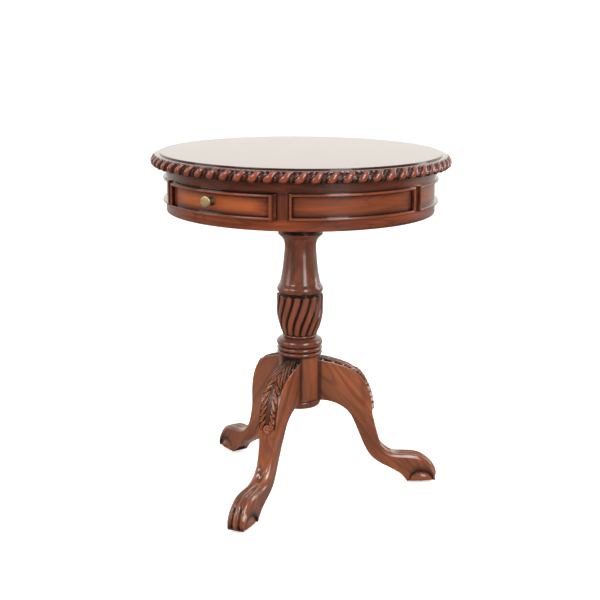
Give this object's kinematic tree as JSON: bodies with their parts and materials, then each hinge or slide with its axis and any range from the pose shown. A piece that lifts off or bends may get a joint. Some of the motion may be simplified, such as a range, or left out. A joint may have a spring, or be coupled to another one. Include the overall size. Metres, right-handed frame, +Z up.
{
  "type": "round pedestal table",
  "caption": "Round mahogany pedestal table with a gadrooned top, a drum with a curved drawer, a reeded column and cabriole legs on paw feet.",
  "frame": {"origin": "on the column's axis, at the floor", "axes": "+Z up, -Y towards the drawer's front, +X to the right of someone facing the drawer"},
  "size_m": [0.5999, 0.6011, 0.708],
  "materials": {
    "mahogany": "gloss",
    "inner_wood": "matte",
    "brass": "satin",
    "steel": "satin",
    "glide": "matte"
  },
  "bodies": {
    "table": {"top_board": "mahogany", "gadroon_rim": "mahogany", "drum_top_rail": "mahogany", "drum_bottom_rail": "mahogany", "stile_1": "mahogany", "stile_2": "mahogany", "stile_3": "mahogany", "stile_4": "mahogany", "drawer_stile_right": "mahogany", "drawer_stile_left": "mahogany", "false_panel_1": "mahogany", "false_panel_2": "mahogany", "false_panel_3": "mahogany", "false_panel_4": "mahogany", "false_panel_5": "mahogany", "panel_bead_1": "mahogany", "panel_bead_2": "mahogany", "panel_bead_3": "mahogany", "panel_bead_4": "mahogany", "panel_bead_5": "mahogany", "column_hub": "mahogany", "column_vase": "mahogany", "column_shaft": "mahogany", "leg_front": "mahogany", "leg_right": "mahogany", "leg_left": "mahogany", "drum_floor": "inner_wood", "column_block": "inner_wood", "drawer_guide_right": "inner_wood", "drawer_guide_left": "inner_wood", "drawer_stop": "inner_wood", "drawer_kicker": "inner_wood", "top_screws": "steel", "block_screws": "steel", "tie_rod": "steel", "rod_washers": "steel", "rod_nuts": "steel", "glide_front": "glide", "glide_right": "glide", "glide_left": "glide"},
    "drawer": {"drawer_front": "mahogany", "drawer_bead": "mahogany", "drawer_side_right": "inner_wood", "drawer_side_left": "inner_wood", "drawer_back": "inner_wood", "drawer_bottom": "inner_wood", "knob": "brass", "knob_screw": "steel"}
  },
  "joints": [
    {"name": "drawer_slide", "type": "slide", "parent": "table", "child": "drawer", "axis": [0, -1, 0], "range_m": [-0.008, 0.12]}
  ]
}
